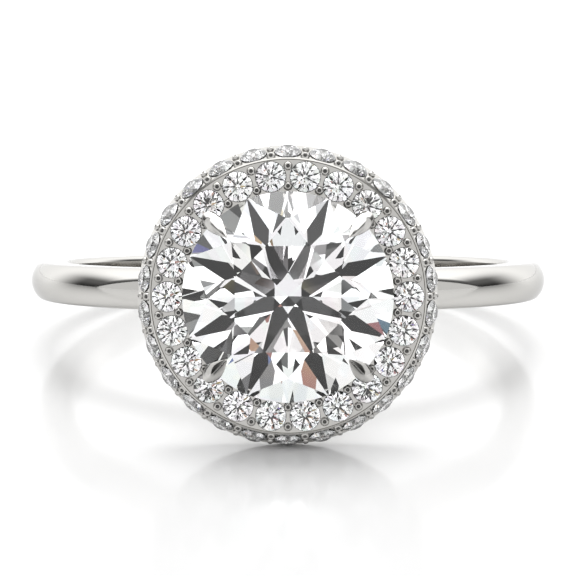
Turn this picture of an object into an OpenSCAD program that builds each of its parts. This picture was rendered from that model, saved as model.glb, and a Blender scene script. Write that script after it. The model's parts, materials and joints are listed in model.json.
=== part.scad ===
// Halo ring lying on its side. A round center stone stands in four pointed claws,
// with a flat row of small stones round it and a second row on the halo's flared side.
// Millimetres. +Z is up, the head points to -Y, and the ring rests on Z = 0.

/* [Band] */
// Inside diameter of the band
bore_d = 16.9; // [16:0.1:19]
// Thickness of the band from the finger hole to the top of its dome
band_t = 1.42; // [1.3:0.02:1.8]
// Width of the band along the finger
band_w = 1.4; // [1.2:0.05:1.7]
// Radius of the domed outer face across the band
dome_r = 0.9; // [0.85:0.05:3]
// Radius of the band's outer edges
edge_r = 0.28; // [0.1:0.02:0.3]
// Radius of the band's inner edges
comfort_r = 0.12; // [0.05:0.01:0.2]

/* [Center stone] */
// Diameter of the center stone
center_d = 6.5; // [6.4:0.05:6.6]
// Height of its girdle above the finger hole
center_rise = 4.45; // [4.35:0.05:4.8]
// Width of a stone's table across its corners, as a share of the diameter
table_ratio = 0.533; // [0.5:0.005:0.58]
// Angle of a stone's crown
crown_deg = 34.5; // [32:0.5:36]
// Angle of a stone's pavilion
pavilion_deg = 40.8; // [40:0.2:42]
// Thickness of a stone's girdle, as a share of the diameter
girdle_ratio = 0.045; // [0.035:0.005:0.06]

/* [Halo] */
// Number of stones in the top row
top_count = 22; // [20:1:22]
// Diameter of a stone in the top row
top_d = 0.94; // [0.85:0.01:0.95]
// Number of stones on the side
side_count = 26; // [22:1:26]
// Diameter of a stone on the side
side_d = 0.84; // [0.7:0.01:0.88]
// Depth of the halo's top below the center stone's girdle
halo_drop = 0.2; // [0.18:0.01:0.3]
// Width of the polished rim between the two rows
rim_t = 0.08; // [0.06:0.01:0.12]
// Angle between the halo's side and the head's axis
side_deg = 25; // [20:1:30]
// Length of the halo's side down its slope
side_len = 1; // [0.96:0.01:1.1]

/* [Claws and basket] */
// Number of claws
claw_count = 4; // [4:1:6]
// Diameter of a claw at its root, and of the post under it
claw_d = 0.52; // [0.45:0.01:0.55]
// Diameter of a claw at its tip
claw_tip_d = 0.16; // [0.14:0.01:0.2]
// Length of a claw over the edge of the center stone
claw_reach = 0.56; // [0.4:0.02:0.6]
// Radius of the rail that carries the posts
rail_r = 1.55; // [1.4:0.05:1.7]
// Thickness of the rail's wire
rail_d = 0.7; // [0.6:0.02:0.8]

/* [Hidden] */
// Clearance between a stone and its seat
gap = 0.03;
// Depth of a seat below its stone, as a share of the pavilion
pavilion_spare = 1.03;
// Overshoot of a cutting shape past what it cuts
spare = 1;
// Facets of a brilliant: one kite each 45 degrees, with a star between
KITES = 8;
KITE_STEP = 360 / KITES;
HALF_STEP = KITE_STEP / 2;
// Radius of the points where stars meet the upper girdle, as a share of the stone's
star_share = 0.746;
// The same for the points where pavilion facets meet the lower girdle
low_share = 0.23;
// Chords on each girdle facet of the center stone and of a small stone
center_cuts = 4;
small_cuts = 1;
// Sides of the round surfaces in a preview
$fn = 96;
small_fn = 32;

bore_r = bore_d / 2;
band_r = bore_r + band_t;
girdle_l = bore_r + center_rise;
halo_l = girdle_l - halo_drop;

// Center of the arc at each outer edge of the band, inside the dome's arc
dome_x = band_r - dome_r;
edge_z = band_w / 2 - edge_r;
edge_turn = asin(edge_z / (dome_r - edge_r));
edge_x = dome_x + (dome_r - edge_r) * cos(edge_turn);

// Metal between the center stone and the top row
row_edge = 0.015;
// Place of the side row down the halo's side, as a share of its length
side_share = 0.46;
// Turn of the top of the head, where both rows start, and of the first claw
row_start = 90;
claw_start = 45;

// Rows of stones, and the slope of the halo's side
top_row_r = center_d / 2 + row_edge + top_d / 2;
shoulder_r = top_row_r + top_d / 2 + rim_t;
side_mid = side_len * side_share;
foot_r = shoulder_r + side_len * sin(side_deg);
foot_l = halo_l - side_len * cos(side_deg);

// How far the halo's frame reaches in under the center stone
inner_reach = 0.25;
// Width and height of the slope inside the frame, and the cut on its lower edge
skirt_w = 0.6;
skirt_h = 0.45;
halo_chamfer = 0.1;
inner_r = center_d / 2 - inner_reach;
under_r = inner_r + skirt_w;
under_l = foot_l - halo_chamfer;
skirt_l = under_l + skirt_h;

// A claw bends out beyond the center stone's edge and above its girdle
knee_out = 0.14;
knee_up = 0.1;
// Height of the rail above the finger hole
rail_rise = 1.5;

// Places of a claw's root and tip, beside the head's axis and along it
knee = [center_d / 2 + knee_out, girdle_l + knee_up];
claw_foot = [rail_r, bore_r + rail_rise];
tip_r = center_d / 2 - claw_reach;
tip = [tip_r, girdle_l + girdle_half(center_d) + star_height(center_d, tip_r) + claw_tip_d / 2 + gap];

// The ring leans on the halo's lower rim and on the back edge of the band
lean_a = foot_r - edge_z;
lean_b = foot_l + edge_x;
tilt = acos(edge_r / norm([lean_a, lean_b])) - atan2(lean_b, lean_a);
lift = edge_x * sin(tilt) + edge_z * cos(tilt) + edge_r;
table_l = girdle_l + girdle_half(center_d) + crown_height(center_d);
front_y = -table_l * cos(tilt) - table_ratio * center_d / 2 * cos(HALF_STEP) * sin(tilt);
back_y = dome_x * cos(tilt) + dome_r;
center_y = (front_y + back_y) / 2;

top_names = [for (i = [1 : top_count]) str("halo_stone_", i < 10 ? "0" : "", i)];

function girdle_half(d) = girdle_ratio * d / 2;
function crown_height(d) = (1 - table_ratio) * d / 2 * tan(crown_deg);
function pavilion_height(d) = d / 2 * tan(pavilion_deg);

// Height above the girdle of the crown, at a radius r in the line of a star
function star_top(d) = (1 - star_share * cos(HALF_STEP)) * d / 2 * tan(crown_deg);
function star_height(d, r) = star_top(d) * (d / 2 - r) / (d / 2 * (1 - star_share));

// Depth at which a girdle facet's plane cuts the round girdle, t degrees from its first corner
function scallop(rise, share, t) =
    rise / (1 - share) * (1 - cos(t) - tan(HALF_STEP / 2) * sin(t));

// Radius and half height of the room round a stone's girdle
function seat_r(d) = d / 2 + gap;
function seat_lip(d) = girdle_half(d) + gap / 2;

function ring_points(count, first, r, z) =
    [for (k = [0 : count - 1]) [r * cos(first + k * 360 / count), r * sin(first + k * 360 / count), z]];

function turned_over(faces) = [for (f = faces) [for (i = [len(f) - 1 : -1 : 0]) f[i]]];

// A round brilliant, girdle at Z = 0 and table up, with cuts chords on each girdle facet
module brilliant(d, cuts) {
    r = d / 2;
    half = girdle_half(d);
    count = 2 * KITES * cuts;
    step = 360 / count;
    star_z = star_top(d);
    low_z = (1 - low_share * cos(HALF_STEP)) * r * tan(pavilion_deg);
    table_pts = ring_points(KITES, HALF_STEP, r * table_ratio, half + crown_height(d));
    star_pts = ring_points(KITES, 0, r * star_share, half + star_z);
    top_pts = [for (i = [0 : count - 1]) let (t = (i % cuts) * step)
        [r * cos(i * step), r * sin(i * step), half + scallop(star_z, star_share, t)]];
    bottom_pts = [for (i = [0 : count - 1]) let (t = (i % cuts) * step)
        [r * cos(i * step), r * sin(i * step), -half - scallop(low_z, low_share, t)]];
    low_pts = ring_points(KITES, 0, r * low_share, -half - low_z);
    culet = [[0, 0, -half - pavilion_height(d)]];
    star0 = KITES;
    top0 = star0 + KITES;
    bottom0 = top0 + count;
    low0 = bottom0 + count;
    culet0 = low0 + KITES;
    table_face = [[for (k = [0 : KITES - 1]) k]];
    stars = [for (k = [0 : KITES - 1]) [(k + KITES - 1) % KITES, star0 + k, k]];
    kites = [for (k = [0 : KITES - 1])
        [k, star0 + k, top0 + (2 * k + 1) * cuts, star0 + (k + 1) % KITES]];
    upper = [for (k = [0 : 2 * KITES - 1]) let (s = floor((k + 1) / 2) % KITES)
        concat([star0 + s], [for (j = [0 : cuts]) top0 + (k * cuts + j) % count])];
    girdle = [for (i = [0 : count - 1])
        [bottom0 + i, bottom0 + (i + 1) % count, top0 + (i + 1) % count, top0 + i]];
    lower = [for (k = [0 : 2 * KITES - 1]) let (s = floor((k + 1) / 2) % KITES)
        concat([low0 + s], [for (j = [cuts : -1 : 0]) bottom0 + (k * cuts + j) % count])];
    mains = [for (k = [0 : KITES - 1])
        [culet0, low0 + (k + 1) % KITES, bottom0 + (2 * k + 1) * cuts, low0 + k]];
    polyhedron(
        points = concat(table_pts, star_pts, top_pts, bottom_pts, low_pts, culet),
        faces = turned_over(concat(table_face, stars, kites, upper, girdle, lower, mains)));
}

// The room cut for a brilliant: its outline with the clearance all round
module seat(d) {
    rotate_extrude($fn = small_fn)
        polygon([
            [0, -seat_lip(d) - pavilion_height(d) * pavilion_spare - gap],
            [seat_r(d), -seat_lip(d)],
            [seat_r(d), seat_lip(d)],
            [star_share * d / 2 + gap, seat_lip(d) + star_top(d) + gap],
            [table_ratio * d / 2 + gap, seat_lip(d) + crown_height(d) + gap],
            [0, seat_lip(d) + crown_height(d) + gap]]);
}

// Puts its children in the resting pose, from the ring's own frame with the finger along Z
module resting() {
    translate([0, -center_y, lift]) rotate([-tilt, 0, 0]) children();
}

// The head's frame: Z runs out through the center stone, Y runs up the finger
module head() {
    rotate([90, 0, 0]) children();
}

// Puts its children on the halo's flat top, in the middle of the top row
module on_top_row(i) {
    rotate([0, 0, row_start + i * 360 / top_count]) translate([top_row_r, 0, halo_l]) children();
}

// Puts its children on the halo's side, down its slope, with Z square to it
module on_side(i, down) {
    rotate([0, 0, row_start + i * 360 / side_count])
        translate([shoulder_r + down * sin(side_deg), 0, halo_l - down * cos(side_deg)])
            rotate([0, 90 - side_deg, 0])
                children();
}

// Puts its children at a place beside the head's axis and along it
module beside_axis(place) {
    translate([place[0], 0, place[1]]) children();
}

// A bar with round ends between two places beside the head's axis, thicker at one end
module tapered_bar(from, to, d_from, d_to) {
    run = norm(to - from);
    lean = atan2(to[0] - from[0], to[1] - from[1]);
    flare = asin((d_from - d_to) / 2 / run);
    z_from = d_from / 2 * sin(flare);
    z_to = run + d_to / 2 * sin(flare);
    beside_axis(from) rotate([0, lean, 0]) {
        sphere(d = d_from, $fn = small_fn);
        translate([0, 0, run]) sphere(d = d_to, $fn = small_fn);
        translate([0, 0, z_from])
            cylinder(h = z_to - z_from, d1 = d_from * cos(flare), d2 = d_to * cos(flare), $fn = small_fn);
    }
}

// Half of the band's section: a domed face and rounded edges outside, a flat wall inside
module band_section() {
    inside_x = bore_r + comfort_r;
    inside_z = band_w / 2 - comfort_r;
    intersection() {
        translate([dome_x, 0]) circle(r = dome_r);
        polygon([[dome_x, 0], [dome_x + 2 * (edge_x - dome_x), 2 * edge_z],
            [dome_x + 2 * (edge_x - dome_x), -2 * edge_z]]);
        translate([bore_r, -band_w / 2]) square([band_t + spare, band_w]);
    }
    for (side = [-1, 1]) {
        translate([edge_x, side * edge_z]) circle(r = edge_r, $fn = small_fn);
        translate([inside_x, side * inside_z]) circle(r = comfort_r, $fn = small_fn);
    }
    translate([bore_r, -inside_z]) square([edge_x - bore_r, 2 * inside_z]);
    translate([inside_x, -band_w / 2]) square([edge_x - inside_x, band_w]);
}

module band() {
    rotate_extrude() band_section();
}

module base_rail() {
    translate([0, 0, claw_foot[1]])
        rotate_extrude() translate([rail_r, 0]) circle(d = rail_d, $fn = small_fn);
}

// Each post runs on as a claw that bends in over the center stone
module posts_and_claws() {
    for (k = [0 : claw_count - 1]) rotate([0, 0, claw_start + k * 360 / claw_count]) {
        tapered_bar(claw_foot, knee, claw_d, claw_d);
        tapered_bar(knee, tip, claw_d, claw_tip_d);
    }
}

module halo_frame() {
    rotate_extrude()
        polygon([
            [inner_r, skirt_l],
            [inner_r, halo_l],
            [shoulder_r, halo_l],
            [foot_r, foot_l],
            [foot_r - halo_chamfer, under_l],
            [under_r, under_l]]);
}

module seats() {
    translate([0, 0, girdle_l]) seat(center_d);
    for (i = [0 : top_count - 1]) on_top_row(i + 0.5) seat(top_d);
    for (i = [0 : side_count - 1]) on_side(i, side_mid) seat(side_d);
}

// All the soldered metal, with the stones' seats and the finger hole cut in it
module ring_mount() {
    color("silver") resting() difference() {
        union() {
            band();
            head() {
                base_rail();
                posts_and_claws();
                halo_frame();
            }
        }
        head() seats();
        cylinder(r = bore_r, h = 2 * band_w, center = true);
    }
}

module center_stone() {
    color("white") resting() head() translate([0, 0, girdle_l]) brilliant(center_d, center_cuts);
}

module halo_stone(i) {
    color("aliceblue") resting() head() on_top_row(i + 0.5) brilliant(top_d, small_cuts);
}

module side_stones() {
    color("lightcyan") resting() head()
        for (i = [0 : side_count - 1]) on_side(i, side_mid) brilliant(side_d, small_cuts);
}

ring_mount();
center_stone();
for (i = [0 : top_count - 1])
    halo_stone(i);
side_stones();
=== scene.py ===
"""Halo ring on its side: polished white metal, cut stones and a plain white studio.

Three frames are used. The scene's frame has the ring resting on Z = 0. The ring's own frame
has the finger along Z and the head toward -Y. The head's frame has Z running out through the
center stone and Y running up the finger. Lengths are metres.
"""

from __future__ import annotations

import json
import logging
import math
from dataclasses import dataclass, replace
from enum import Enum
from typing import Any, Iterable, Sequence

import bmesh
import bpy
from mathutils import Matrix, Vector

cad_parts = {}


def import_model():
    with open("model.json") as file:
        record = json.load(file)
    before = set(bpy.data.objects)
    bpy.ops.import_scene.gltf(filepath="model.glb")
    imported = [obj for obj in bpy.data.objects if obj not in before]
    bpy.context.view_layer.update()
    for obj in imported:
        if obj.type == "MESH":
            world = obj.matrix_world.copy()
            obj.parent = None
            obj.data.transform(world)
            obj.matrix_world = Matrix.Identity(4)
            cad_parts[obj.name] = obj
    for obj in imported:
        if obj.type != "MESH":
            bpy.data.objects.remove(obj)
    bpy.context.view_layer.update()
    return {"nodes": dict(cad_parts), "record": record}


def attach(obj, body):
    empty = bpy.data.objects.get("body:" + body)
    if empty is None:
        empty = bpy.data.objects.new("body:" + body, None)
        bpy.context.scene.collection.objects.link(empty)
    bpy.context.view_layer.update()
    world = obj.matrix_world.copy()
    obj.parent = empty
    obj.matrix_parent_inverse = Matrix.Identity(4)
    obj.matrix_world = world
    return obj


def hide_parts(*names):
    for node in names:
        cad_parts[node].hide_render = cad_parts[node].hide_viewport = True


MM = 0.001
FULL_TURN = 2 * math.pi
HALF_TURN = math.pi
QUARTER_TURN = math.pi / 2
BODY = "root"
MOUNT_NODE = "ring_mount"
CENTER_NODE = "center_stone"
SIDE_NODE = "side_stones"
# Mark for painted shade in the bead dimples and painted dark reflection beside the claws' ridges
PAINTED_DARK = "hollow"
Point2 = tuple[float, float]
Color = tuple[float, float, float, float]
WHITE: Color = (1.0, 1.0, 1.0, 1.0)
FLOAT = "NodeSocketFloat"
COLOR = "NodeSocketColor"
GEOMETRY = "NodeSocketGeometry"
log = logging.getLogger("halo_ring")


class Slot(Enum):
    """The record's material slot of the pieces that are made here."""

    METAL = "white_gold"


class Row(Enum):
    """The two rows of small stones."""

    TOP = "top"
    SIDE = "side"


@dataclass(frozen=True)
class RingSizes:
    """Sizes of the ring's own pieces, the same as the solids' but for a softer comfort_r."""

    bore_r: float = 8.45 * MM
    band_t: float = 1.42 * MM
    band_w: float = 1.4 * MM
    dome_r: float = 0.9 * MM
    edge_r: float = 0.28 * MM
    comfort_r: float = 0.2 * MM
    center_r: float = 3.25 * MM
    center_rise: float = 4.45 * MM
    girdle_ratio: float = 0.045
    table_ratio: float = 0.533
    star_share: float = 0.746
    crown: float = math.radians(34.5)
    pavilion: float = math.radians(40.8)
    top_count: int = 22
    top_r: float = 0.47 * MM
    side_count: int = 26
    side_r: float = 0.42 * MM
    halo_drop: float = 0.2 * MM
    row_edge: float = 0.015 * MM
    rim_t: float = 0.08 * MM
    side_slope: float = math.radians(25)
    side_len: float = 1.0 * MM
    side_mid: float = 0.46 * MM
    claw_count: int = 4
    claw_r: float = 0.26 * MM
    claw_tip_r: float = 0.08 * MM
    claw_reach: float = 0.56 * MM
    rail_r: float = 1.55 * MM
    rail_wire_r: float = 0.35 * MM
    rail_rise: float = 1.5 * MM

    @property
    def band_r(self) -> float:
        """Outer radius of the band."""
        return self.bore_r + self.band_t

    @property
    def girdle_l(self) -> float:
        """Distance of the center stone's girdle from the finger's axis."""
        return self.bore_r + self.center_rise

    @property
    def halo_l(self) -> float:
        """Distance of the halo's flat top from the finger's axis."""
        return self.girdle_l - self.halo_drop

    @property
    def top_row_r(self) -> float:
        """Radius of the line through the top row's stones."""
        return self.center_r + self.row_edge + self.top_r

    @property
    def shoulder_r(self) -> float:
        """Radius of the rim between the two rows."""
        return self.top_row_r + self.top_r + self.rim_t

    @property
    def foot_r(self) -> float:
        """Radius of the halo's lower rim."""
        return self.shoulder_r + self.side_len * math.sin(self.side_slope)

    @property
    def foot_l(self) -> float:
        """Distance of the halo's lower rim from the finger's axis."""
        return self.halo_l - self.side_len * math.cos(self.side_slope)

    @property
    def side_lean(self) -> float:
        """Lean of the side row's stones from the head's axis."""
        return QUARTER_TURN - self.side_slope

    def girdle_half(self, r: float) -> float:
        """Half of the girdle's thickness of a stone of radius r."""
        return self.girdle_ratio * r

    def crown_height(self, r: float) -> float:
        """Height of the table above the girdle of a stone of radius r."""
        return (1 - self.table_ratio) * r * math.tan(self.crown)

    def star_top(self, r: float) -> float:
        """Height of the stars' outer points above the girdle of a stone of radius r."""
        return (1 - self.star_share * math.cos(math.pi / 8)) * r * math.tan(self.crown)


@dataclass(frozen=True)
class RingPose:
    """Where the ring's own frame lies in the scene."""

    center: Vector
    tilt: float

    @classmethod
    def from_record(cls, record: dict[str, Any]) -> RingPose:
        """Reads the pose from the record's finger hole.

        Args:
            record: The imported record.

        Returns:
            The ring's center and its lean from the upright.
        """
        bore = next(m for m in record["mounts"] if m["name"] == "finger_bore")
        axis = bore["axis"]
        return cls(Vector(bore["pos_m"]), math.atan2(axis[1], axis[2]))

    def ring(self) -> Matrix:
        """Takes the ring's own frame to the scene's."""
        return Matrix.Translation(self.center) @ Matrix.Rotation(-self.tilt, 4, "X")

    def head(self) -> Matrix:
        """Takes the head's frame to the scene's."""
        return self.ring() @ Matrix.Rotation(QUARTER_TURN, 4, "X")


@dataclass(frozen=True)
class RowPlace:
    """Where a row lies in the head's frame."""

    count: int
    radius: float
    height: float
    lean: float


@dataclass(frozen=True)
class BeadRow:
    """A row of beads, with its first bead in steps from the top and the lean of its hollows."""

    name: str
    place: RowPlace
    first: float
    bead_r: float
    face: float


@dataclass(frozen=True)
class Station:
    """One section of a post or claw, in the plane of its claw."""

    place: Vector
    up: Vector
    wide: float
    tall: float
    ridge: float = 0.0


def arc(center: Point2, r: float, start: float, end: float, steps: int) -> list[Point2]:
    """Points along an arc in a section.

    Args:
        center: The arc's center.
        r: Its radius.
        start: First angle, in radians.
        end: Last angle, in radians.
        steps: Number of chords.

    Returns:
        The points, both ends included.
    """
    angles = (start + (end - start) * k / steps for k in range(steps + 1))
    return [(center[0] + r * math.cos(a), center[1] + r * math.sin(a)) for a in angles]


def mesh_object(name: str, verts: Sequence[Sequence[float]], faces: Sequence[Sequence[int]],
                place: Matrix | None = None) -> bpy.types.Object:
    """Makes a mesh object at the origin, with its place in its mesh.

    Args:
        name: The object's name.
        verts: Corners, in the frame that place leads from.
        faces: Corner numbers of each face.
        place: Takes the corners to the scene's frame, if that isn't done later.

    Returns:
        The linked object, with its faces turned outward.
    """
    mesh = bpy.data.meshes.new(name)
    mesh.from_pydata([tuple(v) for v in verts], [], [tuple(f) for f in faces])
    mesh.transform(place or Matrix.Identity(4))
    work = bmesh.new()
    work.from_mesh(mesh)
    bmesh.ops.recalc_face_normals(work, faces=work.faces)
    work.to_mesh(mesh)
    work.free()
    obj = bpy.data.objects.new(name, mesh)
    bpy.context.scene.collection.objects.link(obj)
    return obj


def revolve(profile: Sequence[Point2], segments: int) -> tuple[list[Vector], list[list[int]]]:
    """Turns a closed section about Z.

    Args:
        profile: The section's points, as radius and height.
        segments: Number of steps round the axis.

    Returns:
        Corners and faces of the closed shell.
    """
    count = len(profile)
    turns = [k * FULL_TURN / segments for k in range(segments)]
    verts = [Vector((r * math.cos(a), r * math.sin(a), z)) for a in turns for r, z in profile]
    faces = []
    for k in range(segments):
        here, there = k * count, (k + 1) % segments * count
        faces += [[here + j, there + j, there + (j + 1) % count, here + (j + 1) % count]
                  for j in range(count)]
    return verts, faces


def shade(obj: bpy.types.Object, sharp: float) -> None:
    """Smooths the shading, and keeps the edges that turn by more than an angle."""
    obj.data.shade_smooth()
    obj.data.set_sharp_from_angle(angle=sharp)


def socket_id(tree: bpy.types.NodeTree, name: str) -> str:
    """Returns the identifier of a tree's named input."""
    return next(s.identifier for s in tree.interface.items_tree
                if s.item_type == "SOCKET" and s.in_out == "INPUT" and s.name == name)


def grow(obj: bpy.types.Object, tree: bpy.types.NodeTree, values: dict[str, Any]) -> None:
    """Runs a geometry tree on an object and keeps the result as its plain mesh.

    Args:
        obj: The object that carries the tree.
        tree: The geometry tree.
        values: The value of each named input.
    """
    step = obj.modifiers.new("grow", "NODES")
    step.node_group = tree
    for name, value in values.items():
        step[socket_id(tree, name)] = value
    obj.update_tag()
    graph = bpy.context.evaluated_depsgraph_get()
    made = bpy.data.meshes.new_from_object(obj.evaluated_get(graph), depsgraph=graph)
    obj.modifiers.remove(step)
    old, obj.data = obj.data, made
    made.name = obj.name
    bpy.data.meshes.remove(old)


def neutral(value: float) -> Color:
    """Returns an opaque grey."""
    return (value, value, value, 1.0)


@dataclass
class Wiring:
    """Places nodes in a tree and joins them."""

    tree: bpy.types.NodeTree

    @classmethod
    def of(cls, holder: bpy.types.Material | bpy.types.World) -> Wiring:
        """Empties a material's or a world's nodes, and returns their wiring."""
        holder.use_nodes = True
        holder.node_tree.nodes.clear()
        return cls(holder.node_tree)

    def node(self, kind: str, ins: dict[str | int, Any] | None = None,
             **props: Any) -> bpy.types.Node:
        """Places a node.

        Args:
            kind: The node's type.
            ins: A value or an output socket for each named or numbered input.
            props: The node's own properties.

        Returns:
            The node.
        """
        made = self.tree.nodes.new(kind)
        for key, value in props.items():
            setattr(made, key, value)
        for key, value in (ins or {}).items():
            if isinstance(value, bpy.types.NodeSocket):
                self.tree.links.new(value, made.inputs[key])
            else:
                made.inputs[key].default_value = value
        return made

    def out(self, kind: str, ins: dict[str | int, Any] | None = None, socket: str | int = 0,
            **props: Any) -> bpy.types.NodeSocket:
        """Places a node and returns one of its outputs, by name or number."""
        return self.node(kind, ins, **props).outputs[socket]

    def math(self, how: str, a: Any, b: Any = 0.0) -> bpy.types.NodeSocket:
        """Returns the result of a math node."""
        return self.out("ShaderNodeMath", {0: a, 1: b}, operation=how)

    def vector(self, **parts: Any) -> bpy.types.NodeSocket:
        """Returns a vector of the given X, Y and Z."""
        return self.out("ShaderNodeCombineXYZ", parts)

    def span(self, value: Any, start: Any, end: Any, low: float = 0.0, high: float = 1.0,
             smooth: bool = True) -> bpy.types.NodeSocket:
        """Returns a value that goes from low to high while another goes from start to end."""
        return self.out("ShaderNodeMapRange", {
            "Value": value, "From Min": start, "From Max": end, "To Min": low, "To Max": high},
            interpolation_type="SMOOTHSTEP" if smooth else "LINEAR")

    def ramp(self, value: Any, stops: Sequence[tuple[float, float]],
             stepped: bool = False) -> bpy.types.NodeSocket:
        """Returns a grey that follows a value, through stops of place and brightness."""
        made = self.node("ShaderNodeValToRGB", {0: value})
        made.color_ramp.interpolation = "CONSTANT" if stepped else "EASE"
        while len(made.color_ramp.elements) < len(stops):
            made.color_ramp.elements.new(1.0)
        for element, (place, brightness) in zip(made.color_ramp.elements, stops):
            element.position = place
            element.color = neutral(brightness)
        return made.outputs[0]

    def mix(self, factor: Any, a: Any, b: Any, how: str = "MIX") -> bpy.types.NodeSocket:
        """Returns the mix of two colors."""
        return self.out("ShaderNodeMix", {"Factor": factor, 6: a, 7: b}, 2,
                        data_type="RGBA", blend_type=how)


def new_tree(name: str, kind: str, inputs: Iterable[tuple[str, str, Any]],
             outputs: Iterable[tuple[str, str]]) -> tuple[Wiring, Any]:
    """Makes a node tree with named sockets.

    Args:
        name: The tree's name.
        kind: GeometryNodeTree or ShaderNodeTree.
        inputs: Name, socket type and default of each input.
        outputs: Name and socket type of each output.

    Returns:
        The tree's wiring, and the sockets that bring its inputs.
    """
    tree = bpy.data.node_groups.new(name, kind)
    for label, socket, default in inputs:
        made = tree.interface.new_socket(label, in_out="INPUT", socket_type=socket)
        if default is not None:
            made.default_value = default
    for label, socket in outputs:
        tree.interface.new_socket(label, in_out="OUTPUT", socket_type=socket)
    wiring = Wiring(tree)
    return wiring, wiring.node("NodeGroupInput").outputs


class GeometryTrees:
    """The geometry trees that repeat a piece round the head's axis."""

    ROW_INPUTS = (
        ("Geometry", GEOMETRY, None),
        ("Count", "NodeSocketInt", 22),
        ("Row Radius", FLOAT, 4.0 * MM),
        ("Row Height", FLOAT, 0.0),
        ("Lean", FLOAT, 0.0),
        ("Turn", FLOAT, 0.0),
        ("Finish", "NodeSocketMaterial", None))
    BEAD_INPUTS = (
        ("Bead Radius", FLOAT, 0.12 * MM),
        ("Dimple", FLOAT, 0.5),
        ("Dimple Start", FLOAT, 0.75))
    SEAT_INPUTS = (("Seat", "NodeSocketObject", None),)
    RESULT = (("Geometry", GEOMETRY),)
    BEAD_SIDES = 24
    BEAD_RINGS = 18

    @staticmethod
    def angles(w: Wiring, given: Any) -> bpy.types.NodeSocket:
        """Returns the angle of each of a row's places round the head's axis."""
        step = w.math("DIVIDE", FULL_TURN, given["Count"])
        number = w.out("GeometryNodeInputIndex")
        return w.math("ADD", w.math("MULTIPLY", number, step), given["Turn"])

    @staticmethod
    def copies(w: Wiring, given: Any, points: bpy.types.NodeSocket, shape: bpy.types.NodeSocket,
               angle: bpy.types.NodeSocket) -> bpy.types.NodeSocket:
        """Puts a leaning copy of a shape at each point.

        Args:
            w: The tree's nodes.
            given: The tree's inputs.
            points: The row's points.
            shape: The shape to repeat.
            angle: The angle of each point.

        Returns:
            The copies as one real mesh.
        """
        put = w.out("GeometryNodeInstanceOnPoints", {
            "Points": points, "Instance": shape, "Rotation": w.vector(Y=given["Lean"], Z=angle)})
        return w.out("GeometryNodeRealizeInstances", {"Geometry": put})

    @staticmethod
    def finish(w: Wiring, given: Any, geometry: bpy.types.NodeSocket) -> None:
        """Gives the result its material and puts it out."""
        done = w.out("GeometryNodeSetMaterial", {"Geometry": geometry, "Material": given["Finish"]})
        w.node("NodeGroupOutput", {0: done})

    @classmethod
    def beads(cls) -> bpy.types.NodeTree:
        """A round row of small beads, each with a dimple whose middle is marked for painted shade.

        Returns:
            The tree. Its inputs are the row's count, radius, height, lean and turn, the beads'
            radius, the depth and start of their dimple, and their finish.
        """
        w, given = new_tree("bead_row", "GeometryNodeTree",
                            cls.ROW_INPUTS + cls.BEAD_INPUTS, cls.RESULT)
        ring = w.out("GeometryNodeMeshCircle", {"Vertices": given["Count"],
                                                "Radius": given["Row Radius"]})
        row = w.out("GeometryNodeTransform", {
            "Geometry": ring, "Translation": w.vector(Z=given["Row Height"]),
            "Rotation": w.vector(Z=given["Turn"])})
        ball = w.out("GeometryNodeMeshUVSphere", {
            "Segments": cls.BEAD_SIDES, "Rings": cls.BEAD_RINGS,
            "Radius": given["Bead Radius"]}, "Mesh")
        z = w.out("ShaderNodeSeparateXYZ", {0: w.out("GeometryNodeInputPosition")}, "Z")
        high = w.math("DIVIDE", z, given["Bead Radius"])
        near = w.span(high, given["Dimple Start"], 1.0)
        drop = w.math("MULTIPLY", w.math("MULTIPLY", near, given["Dimple"]), given["Bead Radius"])
        # The dimple's middle is marked for painted shade in the bead finish
        marked = w.out("GeometryNodeStoreNamedAttribute", {
            "Geometry": ball, "Name": PAINTED_DARK, "Value": near}, data_type="FLOAT", domain="POINT")
        cupped = w.out("GeometryNodeSetPosition", {
            "Geometry": marked, "Offset": w.vector(Z=w.math("MULTIPLY", drop, -1.0))})
        smooth = w.out("GeometryNodeSetShadeSmooth", {"Geometry": cupped})
        cls.finish(w, given, cls.copies(w, given, row, smooth, cls.angles(w, given)))
        return w.tree

    @classmethod
    def seats(cls) -> bpy.types.NodeTree:
        """Cuts a round row of stone seats into a frame.

        Returns:
            The tree. Its inputs are the row's count, radius, height, lean and turn, the object
            that is cut away at each place, and the frame's finish.
        """
        w, given = new_tree("seat_row", "GeometryNodeTree",
                            cls.ROW_INPUTS + cls.SEAT_INPUTS, cls.RESULT)
        points = w.out("GeometryNodePoints", {"Count": given["Count"]})
        angle = cls.angles(w, given)
        where = w.vector(X=w.math("MULTIPLY", w.math("COSINE", angle), given["Row Radius"]),
                         Y=w.math("MULTIPLY", w.math("SINE", angle), given["Row Radius"]),
                         Z=given["Row Height"])
        row = w.out("GeometryNodeSetPosition", {"Geometry": points, "Position": where})
        tool = w.out("GeometryNodeObjectInfo", {"Object": given["Seat"]}, "Geometry",
                     transform_space="ORIGINAL")
        cut = w.out("GeometryNodeMeshBoolean", {
            0: given["Geometry"], 1: cls.copies(w, given, row, tool, angle)},
            operation="DIFFERENCE", solver="MANIFOLD")
        cls.finish(w, given, cut)
        return w.tree


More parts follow.
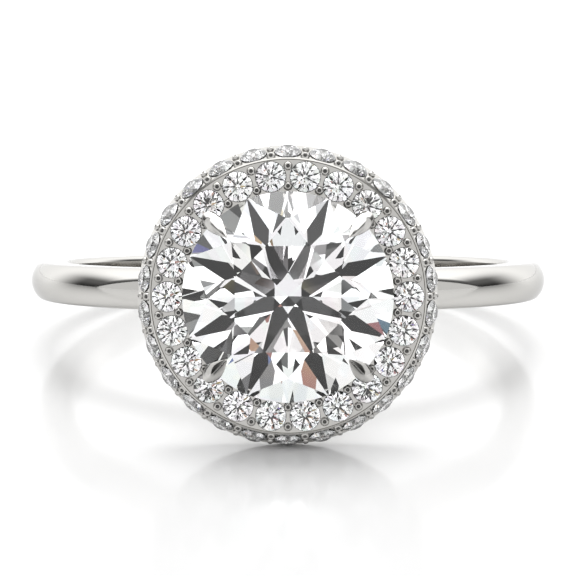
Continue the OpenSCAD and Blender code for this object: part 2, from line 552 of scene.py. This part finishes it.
class SurfaceGroups:
    """The shader groups that more than one finish uses."""

    MARK_STRETCH = (1.0, 0.25, 4.0)
    MARK_DETAIL = 4.0
    CLOUD_SCALE = 260.0
    CLOUD_DETAIL = 2.0
    MARK_SHARE = 0.4
    FIRE_SATURATION = 0.6
    FIRE_VALUE = 1.4

    @classmethod
    def polish(cls) -> bpy.types.NodeTree:
        """Fine marks that polishing leaves.

        Returns:
            The group. It puts out a height, a change of roughness and a slight change of color.
        """
        w, given = new_tree("polish_marks", "ShaderNodeTree", [
            ("Scale", FLOAT, 900.0),
            ("Base Roughness", FLOAT, 0.06),
            ("Spread", FLOAT, 0.05),
            ("Light Color", COLOR, WHITE),
            ("Deep Color", COLOR, WHITE)], [
            ("Height", FLOAT), ("Roughness", FLOAT),
            ("Color", COLOR)])
        place = w.out("ShaderNodeTexCoord", None, "Object")
        long = w.out("ShaderNodeMapping", {"Vector": place, "Scale": cls.MARK_STRETCH})
        marks = w.out("ShaderNodeTexNoise", {"Vector": long, "Scale": given["Scale"],
                                             "Detail": cls.MARK_DETAIL})
        cloud = w.out("ShaderNodeTexNoise", {"Vector": place, "Scale": cls.CLOUD_SCALE,
                                             "Detail": cls.CLOUD_DETAIL})
        both = w.math("ADD", w.math("MULTIPLY", marks, cls.MARK_SHARE),
                      w.math("MULTIPLY", cloud, 1 - cls.MARK_SHARE))
        rough = w.math("ADD", given["Base Roughness"], w.math("MULTIPLY", both, given["Spread"]))
        color = w.mix(cloud, given["Light Color"], given["Deep Color"])
        w.node("NodeGroupOutput", {0: marks, 1: rough, 2: color})
        return w.tree

    @staticmethod
    def hollow() -> bpy.types.NodeTree:
        """Painted shade in each bead's dimple and painted dark reflection beside each claw's ridge.

        Returns:
            The group. It puts out a color.
        """
        w, given = new_tree("bead_hollow", "ShaderNodeTree", [
            ("Color", COLOR, WHITE),
            ("Amount", FLOAT, 0.0),
            ("Dark Color", COLOR, neutral(0.1))], [("Color", COLOR)])
        # Painted shade: the marked places take the dark colour by the given share
        deep = w.out("ShaderNodeAttribute", None, "Fac", attribute_name=PAINTED_DARK)
        dark = w.math("MULTIPLY", deep, given["Amount"])
        w.node("NodeGroupOutput", {0: w.mix(dark, given["Color"], given["Dark Color"])})
        return w.tree

    @classmethod
    def painted_fire(cls) -> bpy.types.NodeTree:
        """Painted fire: faint colour flashes that change from facet to facet.

        Returns:
            The group. It puts out a color.
        """
        w, given = new_tree("facet_fire", "ShaderNodeTree", [
            ("Amount", FLOAT, 0.2),
            ("Body Color", COLOR, WHITE)], [("Color", COLOR)])
        # Each facet's painted colour flash is picked from its own normal
        facet = w.out("ShaderNodeNewGeometry", None, "True Normal")
        odd = w.out("ShaderNodeTexWhiteNoise", {"Vector": facet}, "Color", noise_dimensions="3D")
        tint = w.out("ShaderNodeHueSaturation", {
            "Saturation": cls.FIRE_SATURATION, "Value": cls.FIRE_VALUE, "Color": odd})
        w.node("NodeGroupOutput", {0: w.mix(given["Amount"], given["Body Color"], tint)})
        return w.tree


@dataclass(frozen=True)
class MetalFinish:
    """A polished white metal. A share of painted darkness goes on its marked places, its edges get
    a tint.
    """

    name: str
    light: Color = (0.62, 0.61, 0.585, 1.0)
    deep: Color = (0.59, 0.58, 0.56, 1.0)
    roughness: float = 0.045
    spread: float = 0.04
    marks: float = 900.0
    bump: float = 0.012
    bump_height: float = 0.002 * MM
    # Share of painted darkness on the marked places
    painted_dark_share: float = 0.0
    edge: float = 0.7

    def material(self, polish: bpy.types.NodeTree,
                 hollow: bpy.types.NodeTree) -> bpy.types.Material:
        """Makes the material.

        Args:
            polish: The group of polishing marks.
            hollow: The group that paints the marked places dark.

        Returns:
            The material.
        """
        made = bpy.data.materials.new(self.name)
        w = Wiring.of(made)
        marks = w.node("ShaderNodeGroup", {
            "Scale": self.marks, "Base Roughness": self.roughness, "Spread": self.spread,
            "Light Color": self.light, "Deep Color": self.deep}, node_tree=polish).outputs
        bump = w.out("ShaderNodeBump", {"Strength": self.bump, "Distance": self.bump_height,
                                        "Height": marks["Height"]})
        # Painted shade in the bead dimples and painted dark reflection beside the claw ridges
        color = w.out("ShaderNodeGroup", {"Color": marks["Color"], "Amount": self.painted_dark_share},
                      node_tree=hollow)
        skin = w.out("ShaderNodeBsdfPrincipled", {
            "Base Color": color, "Roughness": marks["Roughness"], "Metallic": 1.0,
            "Specular Tint": neutral(self.edge), "Normal": bump})
        w.node("ShaderNodeOutputMaterial", {"Surface": skin})
        return made


@dataclass(frozen=True)
class StoneFinish:
    """A clear cut stone. Its painted fire tints the facets with colour flashes, its glare is the
    share of mirror light.
    """

    name: str
    body: Color = (0.985, 0.99, 1.0, 1.0)
    painted_fire: float = 0.12
    ior: float = 2.417
    glare: float = 0.35

    def material(self, painted_fire: bpy.types.NodeTree) -> bpy.types.Material:
        """Makes the material.

        Args:
            painted_fire: The group of painted colour flashes on the facets.

        Returns:
            The material.
        """
        made = bpy.data.materials.new(self.name)
        w = Wiring.of(made)
        # Painted fire: colour flashes mixed into the base colour
        tint = w.out("ShaderNodeGroup", {"Amount": self.painted_fire, "Body Color": self.body},
                     node_tree=painted_fire)
        skin = w.out("ShaderNodeBsdfPrincipled", {
            "Base Color": tint, "Roughness": 0.0, "IOR": self.ior,
            "Specular Tint": neutral(self.glare), "Transmission Weight": 1.0})
        w.node("ShaderNodeOutputMaterial", {"Surface": skin})
        return made


@dataclass
class Piece:
    """What every piece of the mount shares."""

    sizes: RingSizes
    pose: RingPose
    finish: bpy.types.Material

    def dress(self, obj: bpy.types.Object) -> bpy.types.Object:
        """Gives a piece its finish and its place in the frame.

        Args:
            obj: The piece, with its final mesh.

        Returns:
            The same object.
        """
        if not obj.data.materials:
            obj.data.materials.append(self.finish)
        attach(obj, BODY)
        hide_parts(MOUNT_NODE)
        log.info("%s: %d faces", obj.name, len(obj.data.polygons))
        return obj


@dataclass
class Band(Piece):
    """The plain band, domed outside."""

    segments: int = 256
    arc_steps: int = 14
    sharp: float = math.radians(60)

    def section(self) -> list[Point2]:
        """Returns the section's points, as radius and height."""
        s = self.sizes
        dome_x = s.band_r - s.dome_r
        edge_z = s.band_w / 2 - s.edge_r
        turn = math.asin(edge_z / (s.dome_r - s.edge_r))
        edge_x = dome_x + (s.dome_r - s.edge_r) * math.cos(turn)
        inner = (s.bore_r + s.comfort_r, s.band_w / 2 - s.comfort_r)
        low_inner = (inner[0], -inner[1])
        steps = self.arc_steps
        return (arc((dome_x, 0), s.dome_r, -turn, turn, 2 * steps)
                + arc((edge_x, edge_z), s.edge_r, turn, QUARTER_TURN, steps)[1:]
                + arc(inner, s.comfort_r, QUARTER_TURN, HALF_TURN, steps)
                + arc(low_inner, s.comfort_r, HALF_TURN, 3 * QUARTER_TURN, steps)
                + arc((edge_x, -edge_z), s.edge_r, -QUARTER_TURN, -turn, steps)[:-1])

    def build(self) -> bpy.types.Object:
        """Builds the band."""
        verts, faces = revolve(self.section(), self.segments)
        obj = mesh_object("band", verts, faces, self.pose.ring())
        shade(obj, self.sharp)
        return self.dress(obj)


@dataclass
class Basket(Piece):
    """The rail on the band, the posts and the claws."""

    segments: int = 96
    sides: int = 32
    rail_sharp: float = math.radians(60)
    claw_sharp: float = math.radians(38)
    # Hollow sides of the ridge, and the streaks of painted dark reflection beside it
    dish: float = 1.5
    painted_streak_near: float = 0.1
    painted_streak_far: float = 0.3
    painted_streak_first: int = 6
    painted_streak_end: int = 11
    # Where the knee and the point lie
    knee_out: float = 0.14 * MM
    knee_up: float = 0.1 * MM
    tip_up: float = 0.03 * MM
    # Stations of a post, then of a claw round its knee
    post_steps: tuple[float, ...] = (0, 0.33, 0.66, 1)
    root: Point2 = (-0.25 * MM, -0.65 * MM)
    root_share: float = 0.9
    neck: Point2 = (-0.08 * MM, -0.25 * MM)
    bend: Point2 = (0.0, -0.02 * MM)
    bend_lean: float = 0.35
    bend_ridge: float = 0.05
    # Share of the way to the point, share of the claw's half width, and share of the ridge
    profile: tuple[tuple[float, float, float], ...] = (
        (0.1, 1.02, 0.1), (0.2, 1.04, 0.3), (0.3, 1.02, 0.62), (0.4, 0.97, 0.85),
        (0.52, 0.87, 1.0), (0.64, 0.74, 1.0), (0.76, 0.58, 1.0), (0.88, 0.41, 1.0),
        (1.0, 0.22, 1.0))
    lean_out: float = 0.4
    end_out: float = 0.07 * MM
    end_wide: float = 0.3
    end_tall: float = 0.35

    def rail(self) -> bpy.types.Object:
        """Builds the rail that carries the posts."""
        s = self.sizes
        middle = (s.rail_r, s.bore_r + s.rail_rise)
        section = arc(middle, s.rail_wire_r, 0, FULL_TURN, self.sides)[:-1]
        verts, faces = revolve(section, self.segments)
        obj = mesh_object("base_rail", verts, faces, self.pose.head())
        shade(obj, self.rail_sharp)
        return self.dress(obj)

    def knee(self) -> Vector:
        """Returns the place where a post turns over the halo into its claw."""
        s = self.sizes
        return Vector((s.center_r + self.knee_out, s.girdle_l + self.knee_up))

    def tip(self) -> Vector:
        """Returns the place of a claw's point on the center stone."""
        s = self.sizes
        r = s.center_r - s.claw_reach
        star = s.star_top(s.center_r) * (s.center_r - r) / (s.center_r * (1 - s.star_share))
        return Vector((r, s.girdle_l + s.girdle_half(s.center_r) + star
                       + s.claw_tip_r + self.tip_up))

    def outline(self, station: Station, painted_streak: bool) -> tuple[list[Vector], list[float]]:
        """Draws one section, round below and with a share of a ridge above.

        Args:
            station: The section.
            painted_streak: Whether it has the streaks of painted dark reflection beside its ridge.

        Returns:
            The section's corners, and how much painted darkness each one gets.
        """
        corners, marks = [], []
        for j in range(self.sides):
            a = j * FULL_TURN / self.sides
            upper = math.sin(a) > 0
            up = math.sin(a) * station.tall
            if upper:
                gable = (1 - abs(math.cos(a))) ** self.dish * station.tall
                up += (gable - up) * station.ridge
            corners.append(Vector((station.place.x + station.up.x * up,
                                   math.cos(a) * station.wide,
                                   station.place.y + station.up.y * up)))
            # Painted dark reflection: a streak on each side of the ridge, with no groove in the
            # shape
            beside = self.painted_streak_near < abs(math.cos(a)) < self.painted_streak_far
            marks.append(1.0 if painted_streak and upper and beside else 0.0)
        return corners, marks

    def loft(self, name: str, stations: Sequence[Station],
             painted_streak: range = range(0)) -> bpy.types.Object:
        """Skins sections along a path in the plane of each claw.

        Args:
            name: The piece's name.
            stations: The sections.
            painted_streak: Numbers of the sections with streaks of painted dark reflection beside
                the ridge.

        Returns:
            The object with one skin at each claw's place.
        """
        sides, count = self.sides, self.sizes.claw_count
        verts: list[Vector] = []
        faces: list[list[int]] = []
        marks: list[float] = []
        for k in range(count):
            turn = Matrix.Rotation(QUARTER_TURN / 2 + k * FULL_TURN / count, 4, "Z")
            rows = []
            for i, station in enumerate(stations):
                rows.append(range(len(verts), len(verts) + sides))
                corners, hollow = self.outline(station, i in painted_streak)
                verts += [turn @ corner for corner in corners]
                marks += hollow
            for low, high in zip(rows, rows[1:]):
                faces += [[low[j], low[(j + 1) % sides], high[(j + 1) % sides], high[j]]
                          for j in range(sides)]
            faces += [list(rows[0]), list(rows[-1])]
        obj = mesh_object(name, verts, faces, self.pose.head())
        # Stores where the claws get painted dark reflection
        obj.data.attributes.new(PAINTED_DARK, "FLOAT", "POINT").data.foreach_set("value", marks)
        shade(obj, self.claw_sharp)
        return obj

    def posts(self) -> bpy.types.Object:
        """Builds the posts from the rail to the halo."""
        s = self.sizes
        foot = Vector((s.rail_r, s.bore_r + s.rail_rise))
        knee = self.knee()
        run = (knee - foot).normalized()
        up = Vector((run.y, -run.x))
        return self.dress(self.loft("posts", [
            Station(foot.lerp(knee, t), up, s.claw_r, s.claw_r) for t in self.post_steps]))

    def claws(self) -> bpy.types.Object:
        """Builds the pointed claws, round outside and ridged toward the point."""
        s = self.sizes
        knee, tip = self.knee(), self.tip()
        run = (tip - knee).normalized()
        up = Vector((run.y, -run.x))
        out = Vector((1.0, 0.0))
        root_r = s.claw_r * self.root_share
        stations = [
            Station(knee + Vector(self.root), out, root_r, root_r),
            Station(knee + Vector(self.neck), out, s.claw_r, s.claw_r),
            Station(knee + Vector(self.bend), (out + up * self.bend_lean).normalized(),
                    s.claw_r, s.claw_r, self.bend_ridge)]
        for t, wide, ridge in self.profile:
            lean = (out * (1 - t) * self.lean_out + up).normalized()
            tall = s.claw_r * (1 - t) + s.claw_tip_r * t
            stations.append(Station(knee.lerp(tip, t), lean, s.claw_r * wide, tall, ridge))
        stations.append(Station(tip + run * self.end_out, up, s.claw_tip_r * self.end_wide,
                                s.claw_tip_r * self.end_tall, 1.0))
        return self.dress(self.loft("claws", stations, range(self.painted_streak_first, self.painted_streak_end)))

    def build(self) -> None:
        """Builds the rail, the posts and the claws."""
        self.rail()
        self.posts()
        self.claws()


@dataclass
class Halo(Piece):
    """The halo's frame with its cut seats, and the beads that hold the stones."""

    bead_finish: bpy.types.Material
    seat_tree: bpy.types.NodeTree
    bead_tree: bpy.types.NodeTree
    segments: int = 208
    sharp: float = math.radians(30)
    # The frame's section: its inner wall, underside, soft rim and the fine line beside the rim
    inner_in: float = 0.25 * MM
    under_in: float = 0.6 * MM
    chamfer: float = 0.1 * MM
    skirt: float = 0.45 * MM
    soft: float = 0.03 * MM
    line_in: float = 1.6
    line_half: float = 0.012 * MM
    line_deep: float = 0.03 * MM
    # The seats, open above for some heights of the stone's crown
    seat_sides: int = 32
    seat_gap: float = 0.012 * MM
    seat_open: float = 1.6
    # The beads, and where they stand from the line through their stones
    bead_r: float = 0.145 * MM
    low_bead_r: float = 0.12 * MM
    side_bead_face: float = math.radians(24)
    dimple: float = 0.7
    dimple_start: float = 0.86
    top_bead_out: float = 0.30 * MM
    top_bead_in: float = 0.32 * MM
    side_bead_up: float = 0.29 * MM
    side_bead_down: float = 0.25 * MM

    def section(self) -> list[Point2]:
        """Returns the frame's section, as radius and height in the head's frame."""
        s = self.sizes
        inner = s.center_r - self.inner_in
        under = (inner + self.under_in, s.foot_l - self.chamfer)
        down = (math.cos(s.side_lean) * self.soft, -math.sin(s.side_lean) * self.soft)
        line = s.shoulder_r - self.line_in * self.soft
        return [(inner, under[1] + self.skirt), (inner, s.halo_l),
                (line - self.line_half, s.halo_l), (line, s.halo_l - self.line_deep),
                (line + self.line_half, s.halo_l), (s.shoulder_r - self.soft, s.halo_l),
                (s.shoulder_r + down[0], s.halo_l + down[1]),
                (s.foot_r - down[0], s.foot_l - down[1]), (s.foot_r, s.foot_l),
                (s.foot_r - self.chamfer, under[1]), under]

    def seat(self, name: str, r: float) -> bpy.types.Object:
        """Builds the solid that is cut away for one stone.

        Args:
            name: The object's name.
            r: The stone's radius.

        Returns:
            The object, which isn't kept.
        """
        s, sides = self.sizes, self.seat_sides
        half = s.girdle_half(r) + self.seat_gap
        wall = r + self.seat_gap
        top = half + self.seat_open * s.crown_height(r)
        deep = -half - r * math.tan(s.pavilion) - self.seat_gap
        turns = [k * FULL_TURN / sides for k in range(sides)]
        verts = [Vector((0, 0, deep)), Vector((0, 0, top))]
        verts += [Vector((wall * math.cos(a), wall * math.sin(a), z))
                  for z in (-half, top) for a in turns]
        faces = []
        for k in range(sides):
            low, low_next = 2 + k, 2 + (k + 1) % sides
            high, high_next = low + sides, low_next + sides
            faces += [[0, low_next, low], [low, low_next, high_next, high], [1, high, high_next]]
        return mesh_object(name, verts, faces)

    def row(self, which: Row, down: float = 0.0, shift: float = 0.0) -> RowPlace:
        """Gives the place of a row.

        Args:
            which: The row of stones.
            down: Place down the halo's side.
            shift: Place outward on the halo's top.

        Returns:
            The row's place.
        """
        s = self.sizes
        if which is Row.TOP:
            return RowPlace(s.top_count, s.top_row_r + shift, s.halo_l, 0.0)
        return RowPlace(s.side_count, s.shoulder_r + down * math.sin(s.side_slope),
                        s.halo_l - down * math.cos(s.side_slope), s.side_lean)

    def cut(self, obj: bpy.types.Object, tool: bpy.types.Object, place: RowPlace,
            turn: float) -> None:
        """Cuts a row of seats into the frame.

        Args:
            obj: The frame.
            tool: The solid that is cut away at each place.
            place: The row's place.
            turn: Angle of the first seat.
        """
        grow(obj, self.seat_tree, {
            "Count": place.count, "Row Radius": place.radius, "Row Height": place.height,
            "Lean": place.lean, "Turn": turn, "Seat": tool, "Finish": self.finish})

    def frame(self) -> bpy.types.Object:
        """Builds the frame and cuts its seats, half of each row at a time."""
        s = self.sizes
        verts, faces = revolve(self.section(), self.segments)
        obj = mesh_object("halo_frame", verts, faces)
        center = self.seat("seat_center", s.center_r)
        center.data.transform(Matrix.Translation((0, 0, s.girdle_l)))
        cutters = [center]
        self.cut(obj, center, RowPlace(1, 0.0, 0.0, 0.0), 0.0)
        for which, r, first in ((Row.TOP, s.top_r, 0.5), (Row.SIDE, s.side_r, 0.0)):
            tool = self.seat(f"seat_{which.value}", r)
            cutters.append(tool)
            place = self.row(which, down=s.side_mid)
            half = replace(place, count=place.count // 2)
            for odd in (0, 1):
                turn = QUARTER_TURN + (first + odd) * FULL_TURN / place.count
                self.cut(obj, tool, half, turn)
        for tool in cutters:
            bpy.data.objects.remove(tool)
        obj.data.transform(self.pose.head())
        shade(obj, self.sharp)
        return self.dress(obj)

    def beads(self, row: BeadRow) -> bpy.types.Object:
        """Builds one row of beads as a finished piece."""
        place = row.place
        obj = mesh_object(row.name, [], [])
        grow(obj, self.bead_tree, {
            "Count": place.count, "Row Radius": place.radius, "Row Height": place.height,
            "Lean": row.face, "Turn": QUARTER_TURN + row.first * FULL_TURN / place.count,
            "Bead Radius": row.bead_r, "Dimple": self.dimple, "Dimple Start": self.dimple_start,
            "Finish": self.bead_finish})
        obj.data.transform(self.pose.head())
        return self.dress(obj)

    def build(self) -> None:
        """Builds the frame and the four rows of beads."""
        s = self.sizes
        self.frame()
        for row in (
                BeadRow("beads_top_inner", self.row(Row.TOP, shift=-self.top_bead_in),
                        0.0, self.bead_r, 0.0),
                BeadRow("beads_top_outer", self.row(Row.TOP, shift=self.top_bead_out),
                        0.0, self.bead_r, 0.0),
                BeadRow("beads_side_upper", self.row(Row.SIDE, s.side_mid - self.side_bead_up),
                        0.5, self.bead_r, self.side_bead_face),
                BeadRow("beads_side_lower", self.row(Row.SIDE, s.side_mid + self.side_bead_down),
                        0.5, self.low_bead_r, s.side_lean)):
            self.beads(row)


@dataclass
class Stones:
    """The cut stones, which keep the shapes of the solids."""

    nodes: dict[str, bpy.types.Object]
    center: bpy.types.Material
    small: bpy.types.Material
    side: bpy.types.Material

    def build(self) -> None:
        """Gives each stone its finish."""
        special = {CENTER_NODE: self.center, SIDE_NODE: self.side}
        for name, obj in sorted(self.nodes.items()):
            if name == MOUNT_NODE:
                continue
            chosen = special.get(name, self.small)
            obj.data.materials.clear()
            obj.data.materials.append(chosen)
            log.info("%s: %s", name, chosen.name)


@dataclass
class Studio:
    """The floor, the light and the camera."""

    # The camera
    eye: tuple[float, float, float] = (0.0, -57.33 * MM, 16.46 * MM)
    pitch_down: float = math.radians(13.6)
    lens: float = 98.1
    sensor: float = 36.0
    nearest: float = 1 * MM
    farthest: float = 20.0
    # The floor
    floor_half: float = 3.0
    floor_tone: float = 0.93
    floor_gloss: float = 0.35
    floor_rough: float = 0.12
    floor_spread: float = 0.04
    floor_grain: float = 40.0
    floor_detail: float = 2.0
    # What metal and floor reflect: a light card below, a dark gap that widens toward the
    # back, and a bright upper part
    card: float = 0.88
    card_slope: float = 2.6
    gap_thin: float = 0.22
    gap_wide: float = 0.62
    gap_reach: tuple[float, float] = (-0.4, 0.1)
    upper: tuple[tuple[float, float], ...] = ((0.0, 0.02), (0.45, 0.1), (1.0, 1.0))
    upper_light: float = 1.75
    back_light: float = 1.65
    back_reach: tuple[float, float] = (0.2, 0.7)
    # What the stones gather: a dark disc toward the viewer, steps of brightness, slow drifts
    # and a few colored flashes
    viewer_up: float = math.radians(13.6)
    viewer_r: float = math.radians(13)
    viewer_soft: float = math.radians(3)
    viewer_tone: float = 0.02
    sparkle: tuple[tuple[float, float], ...] = (
        (0.0, 0.02), (0.27, 0.1), (0.37, 0.3), (0.46, 0.75), (0.54, 1.45))
    sparkle_scale: float = 2.6
    sparkle_seed: float = 1.7
    drift_scale: float = 9.0
    drift_reach: tuple[float, float] = (0.3, 0.7)
    drift_gain: tuple[float, float] = (0.4, 1.6)
    flash_share: float = 0.09
    flash_warm: float = 1.06
    flash_cold: float = 1.66
    flash_drift: float = 0.5
    flash_saturation: float = 0.55
    # What lights matt surfaces: the surroundings, and a square lamp that looks at the head
    dome: float = 0.8
    key_place: tuple[float, float, float] = (0.0, 0.05, 0.2)
    key_aim: tuple[float, float, float] = (0.0, -3 * MM, 3 * MM)
    key_size: float = 0.12
    key_watts: float = 0.17

    def floor(self) -> bpy.types.Object:
        """Builds the plain white floor with its faint gloss."""
        made = bpy.data.materials.new("studio_floor")
        w = Wiring.of(made)
        place = w.out("ShaderNodeTexCoord", None, "Object")
        grain = w.out("ShaderNodeTexNoise", {"Vector": place, "Scale": self.floor_grain,
                                             "Detail": self.floor_detail})
        rough = w.math("ADD", w.math("MULTIPLY", grain, self.floor_spread), self.floor_rough)
        skin = w.out("ShaderNodeBsdfPrincipled", {
            "Base Color": neutral(self.floor_tone), "Roughness": rough,
            "Specular IOR Level": self.floor_gloss})
        w.node("ShaderNodeOutputMaterial", {"Surface": skin})
        h = self.floor_half
        obj = mesh_object("floor", [(-h, -h, 0), (h, -h, 0), (h, h, 0), (-h, h, 0)],
                          [[0, 1, 2, 3]])
        obj.data.materials.append(made)
        return obj

    def room_in_stones(self, w: Wiring, seen: bpy.types.NodeSocket) -> bpy.types.NodeSocket:
        """Makes the many small lights and darks that the cut stones gather.

        Args:
            w: The world's nodes.
            seen: The way that a ray leaves.

        Returns:
            The color that way.
        """
        cell = w.out("ShaderNodeTexVoronoi", {
            "Vector": seen, "W": self.sparkle_seed, "Scale": self.sparkle_scale}, "Color",
            voronoi_dimensions="4D")
        parts = w.node("ShaderNodeSeparateColor", {0: cell}).outputs
        drift = w.out("ShaderNodeTexNoise", {"Vector": seen, "Scale": self.drift_scale})
        flow = w.span(drift, *self.drift_reach, *self.drift_gain, smooth=False)
        plain = w.mix(1.0, w.ramp(parts[0], self.sparkle, stepped=True), flow, "MULTIPLY")
        cold = w.math("MULTIPLY", w.math("GREATER_THAN", parts[1], 0.5),
                      self.flash_cold - self.flash_warm)
        hue = w.math("ADD", w.math("ADD", cold, self.flash_warm),
                     w.math("MULTIPLY", w.math("SUBTRACT", drift, 0.5), self.flash_drift))
        flash = w.out("ShaderNodeCombineColor", {
            0: w.math("FRACT", hue), 1: self.flash_saturation, 2: drift}, mode="HSV")
        room = w.mix(w.math("GREATER_THAN", parts[2], 1.0 - self.flash_share), plain, flash)
        way = (0.0, -math.cos(self.viewer_up), math.sin(self.viewer_up))
        near = w.out("ShaderNodeVectorMath", {0: seen, 1: way}, "Value", operation="DOT_PRODUCT")
        disc = w.span(near, math.cos(self.viewer_r + self.viewer_soft), math.cos(self.viewer_r))
        return w.mix(disc, room, neutral(self.viewer_tone))

    def room_round_metal(self, w: Wiring, seen: bpy.types.NodeSocket) -> bpy.types.NodeSocket:
        """Makes the card, the dark gap and the bright upper part that the metal reflects.

        Args:
            w: The world's nodes.
            seen: The way that a ray leaves.

        Returns:
            The color that way.
        """
        parts = w.node("ShaderNodeSeparateXYZ", {0: seen}).outputs
        card_top = w.math("MAXIMUM", w.math("MULTIPLY", parts["Y"], -self.card_slope), 0.0)
        gap = w.span(parts["Y"], *self.gap_reach, self.gap_thin, self.gap_wide)
        above = w.math("DIVIDE", w.math("SUBTRACT", parts["Z"], card_top), gap)
        front = w.mix(1.0, w.ramp(above, self.upper), neutral(self.upper_light), "MULTIPLY")
        behind = w.span(parts["Y"], *self.back_reach)
        lit = w.mix(behind, front, neutral(self.back_light))
        return w.mix(w.math("LESS_THAN", above, 0.0), lit, neutral(self.card))

    def surroundings(self) -> None:
        """Makes the soft white studio that the metal and the stones reflect."""
        world = bpy.data.worlds.new("studio")
        bpy.context.scene.world = world
        w = Wiring.of(world)
        path = w.node("ShaderNodeLightPath").outputs
        seen = w.out("ShaderNodeTexCoord", None, "Generated")
        color = self.room_round_metal(w, seen)
        color = w.mix(path["Is Transmission Ray"], color, self.room_in_stones(w, seen))
        color = w.mix(path["Is Diffuse Ray"], color, neutral(self.dome))
        studio = w.out("ShaderNodeBackground", {"Color": color})
        plain = w.out("ShaderNodeBackground", {"Color": WHITE})
        both = w.out("ShaderNodeMixShader", {0: path["Is Camera Ray"], 1: studio, 2: plain})
        w.node("ShaderNodeOutputWorld", {"Surface": both})

    def lamp(self) -> None:
        """Places the soft lamp above the ring."""
        light = bpy.data.lights.new("key_top", "AREA")
        light.size = self.key_size
        light.energy = self.key_watts
        obj = bpy.data.objects.new("key_top", light)
        obj.location = self.key_place
        aim = Vector(self.key_aim) - Vector(self.key_place)
        obj.rotation_euler = aim.to_track_quat("-Z", "Y").to_euler()
        bpy.context.scene.collection.objects.link(obj)

    def camera(self) -> None:
        """Places the camera at the photo's angle."""
        data = bpy.data.cameras.new("camera")
        data.lens = self.lens
        data.sensor_width = self.sensor
        data.clip_start = self.nearest
        data.clip_end = self.farthest
        data.dof.use_dof = False
        obj = bpy.data.objects.new("camera", data)
        obj.location = self.eye
        obj.rotation_euler = (QUARTER_TURN - self.pitch_down, 0, 0)
        bpy.context.scene.collection.objects.link(obj)
        bpy.context.scene.camera = obj

    def build(self) -> None:
        """Builds the camera, the floor and the light."""
        self.camera()
        self.floor()
        self.surroundings()
        self.lamp()
        view = bpy.context.scene.view_settings
        view.view_transform = "Standard"
        view.look = "None"
        view.exposure = 0.0
        view.gamma = 1.0


def main() -> None:
    """Builds the studio, then the ring's pieces."""
    logging.basicConfig(level=logging.INFO, format="%(name)s %(message)s")
    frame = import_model()
    sizes = RingSizes()
    pose = RingPose.from_record(frame["record"])
    polish, hollow, painted_fire = SurfaceGroups.polish(), SurfaceGroups.hollow(), SurfaceGroups.painted_fire()
    small_parts = {"spread": 0.05, "marks": 2600.0}
    band_metal, setting_metal, bead_metal, claw_metal = (m.material(polish, hollow) for m in (
        MetalFinish("polished_white_gold"),
        MetalFinish("bright_cut_white_gold", roughness=0.06, **small_parts),
        # The beads' white gold is a darker copy: painted shade among the stones, with more painted
        # shade in the dimples
        MetalFinish("beaded_white_gold", (0.6, 0.59, 0.57, 1.0), (0.53, 0.52, 0.5, 1.0),
                    roughness=0.09, painted_dark_share=0.95, **small_parts),
        # The claws' marked streaks get painted dark reflection
        MetalFinish("claw_white_gold", (0.66, 0.65, 0.63, 1.0), (0.6, 0.59, 0.57, 1.0),
                    roughness=0.06, painted_dark_share=0.96, **small_parts)))
    center = StoneFinish("clear_center_stone").material(painted_fire)
    small = StoneFinish("clear_top_stones", painted_fire=0.14, glare=0.5).material(painted_fire)
    side = StoneFinish("clear_side_stones", painted_fire=0.1, glare=1.0).material(painted_fire)
    Studio().build()
    Band(sizes, pose, band_metal).build()
    Basket(sizes, pose, claw_metal).build()
    Halo(sizes, pose, setting_metal, bead_metal, GeometryTrees.seats(),
         GeometryTrees.beads()).build()
    Stones(frame["nodes"], center, small, side).build()


if __name__ == "__main__":
    main()
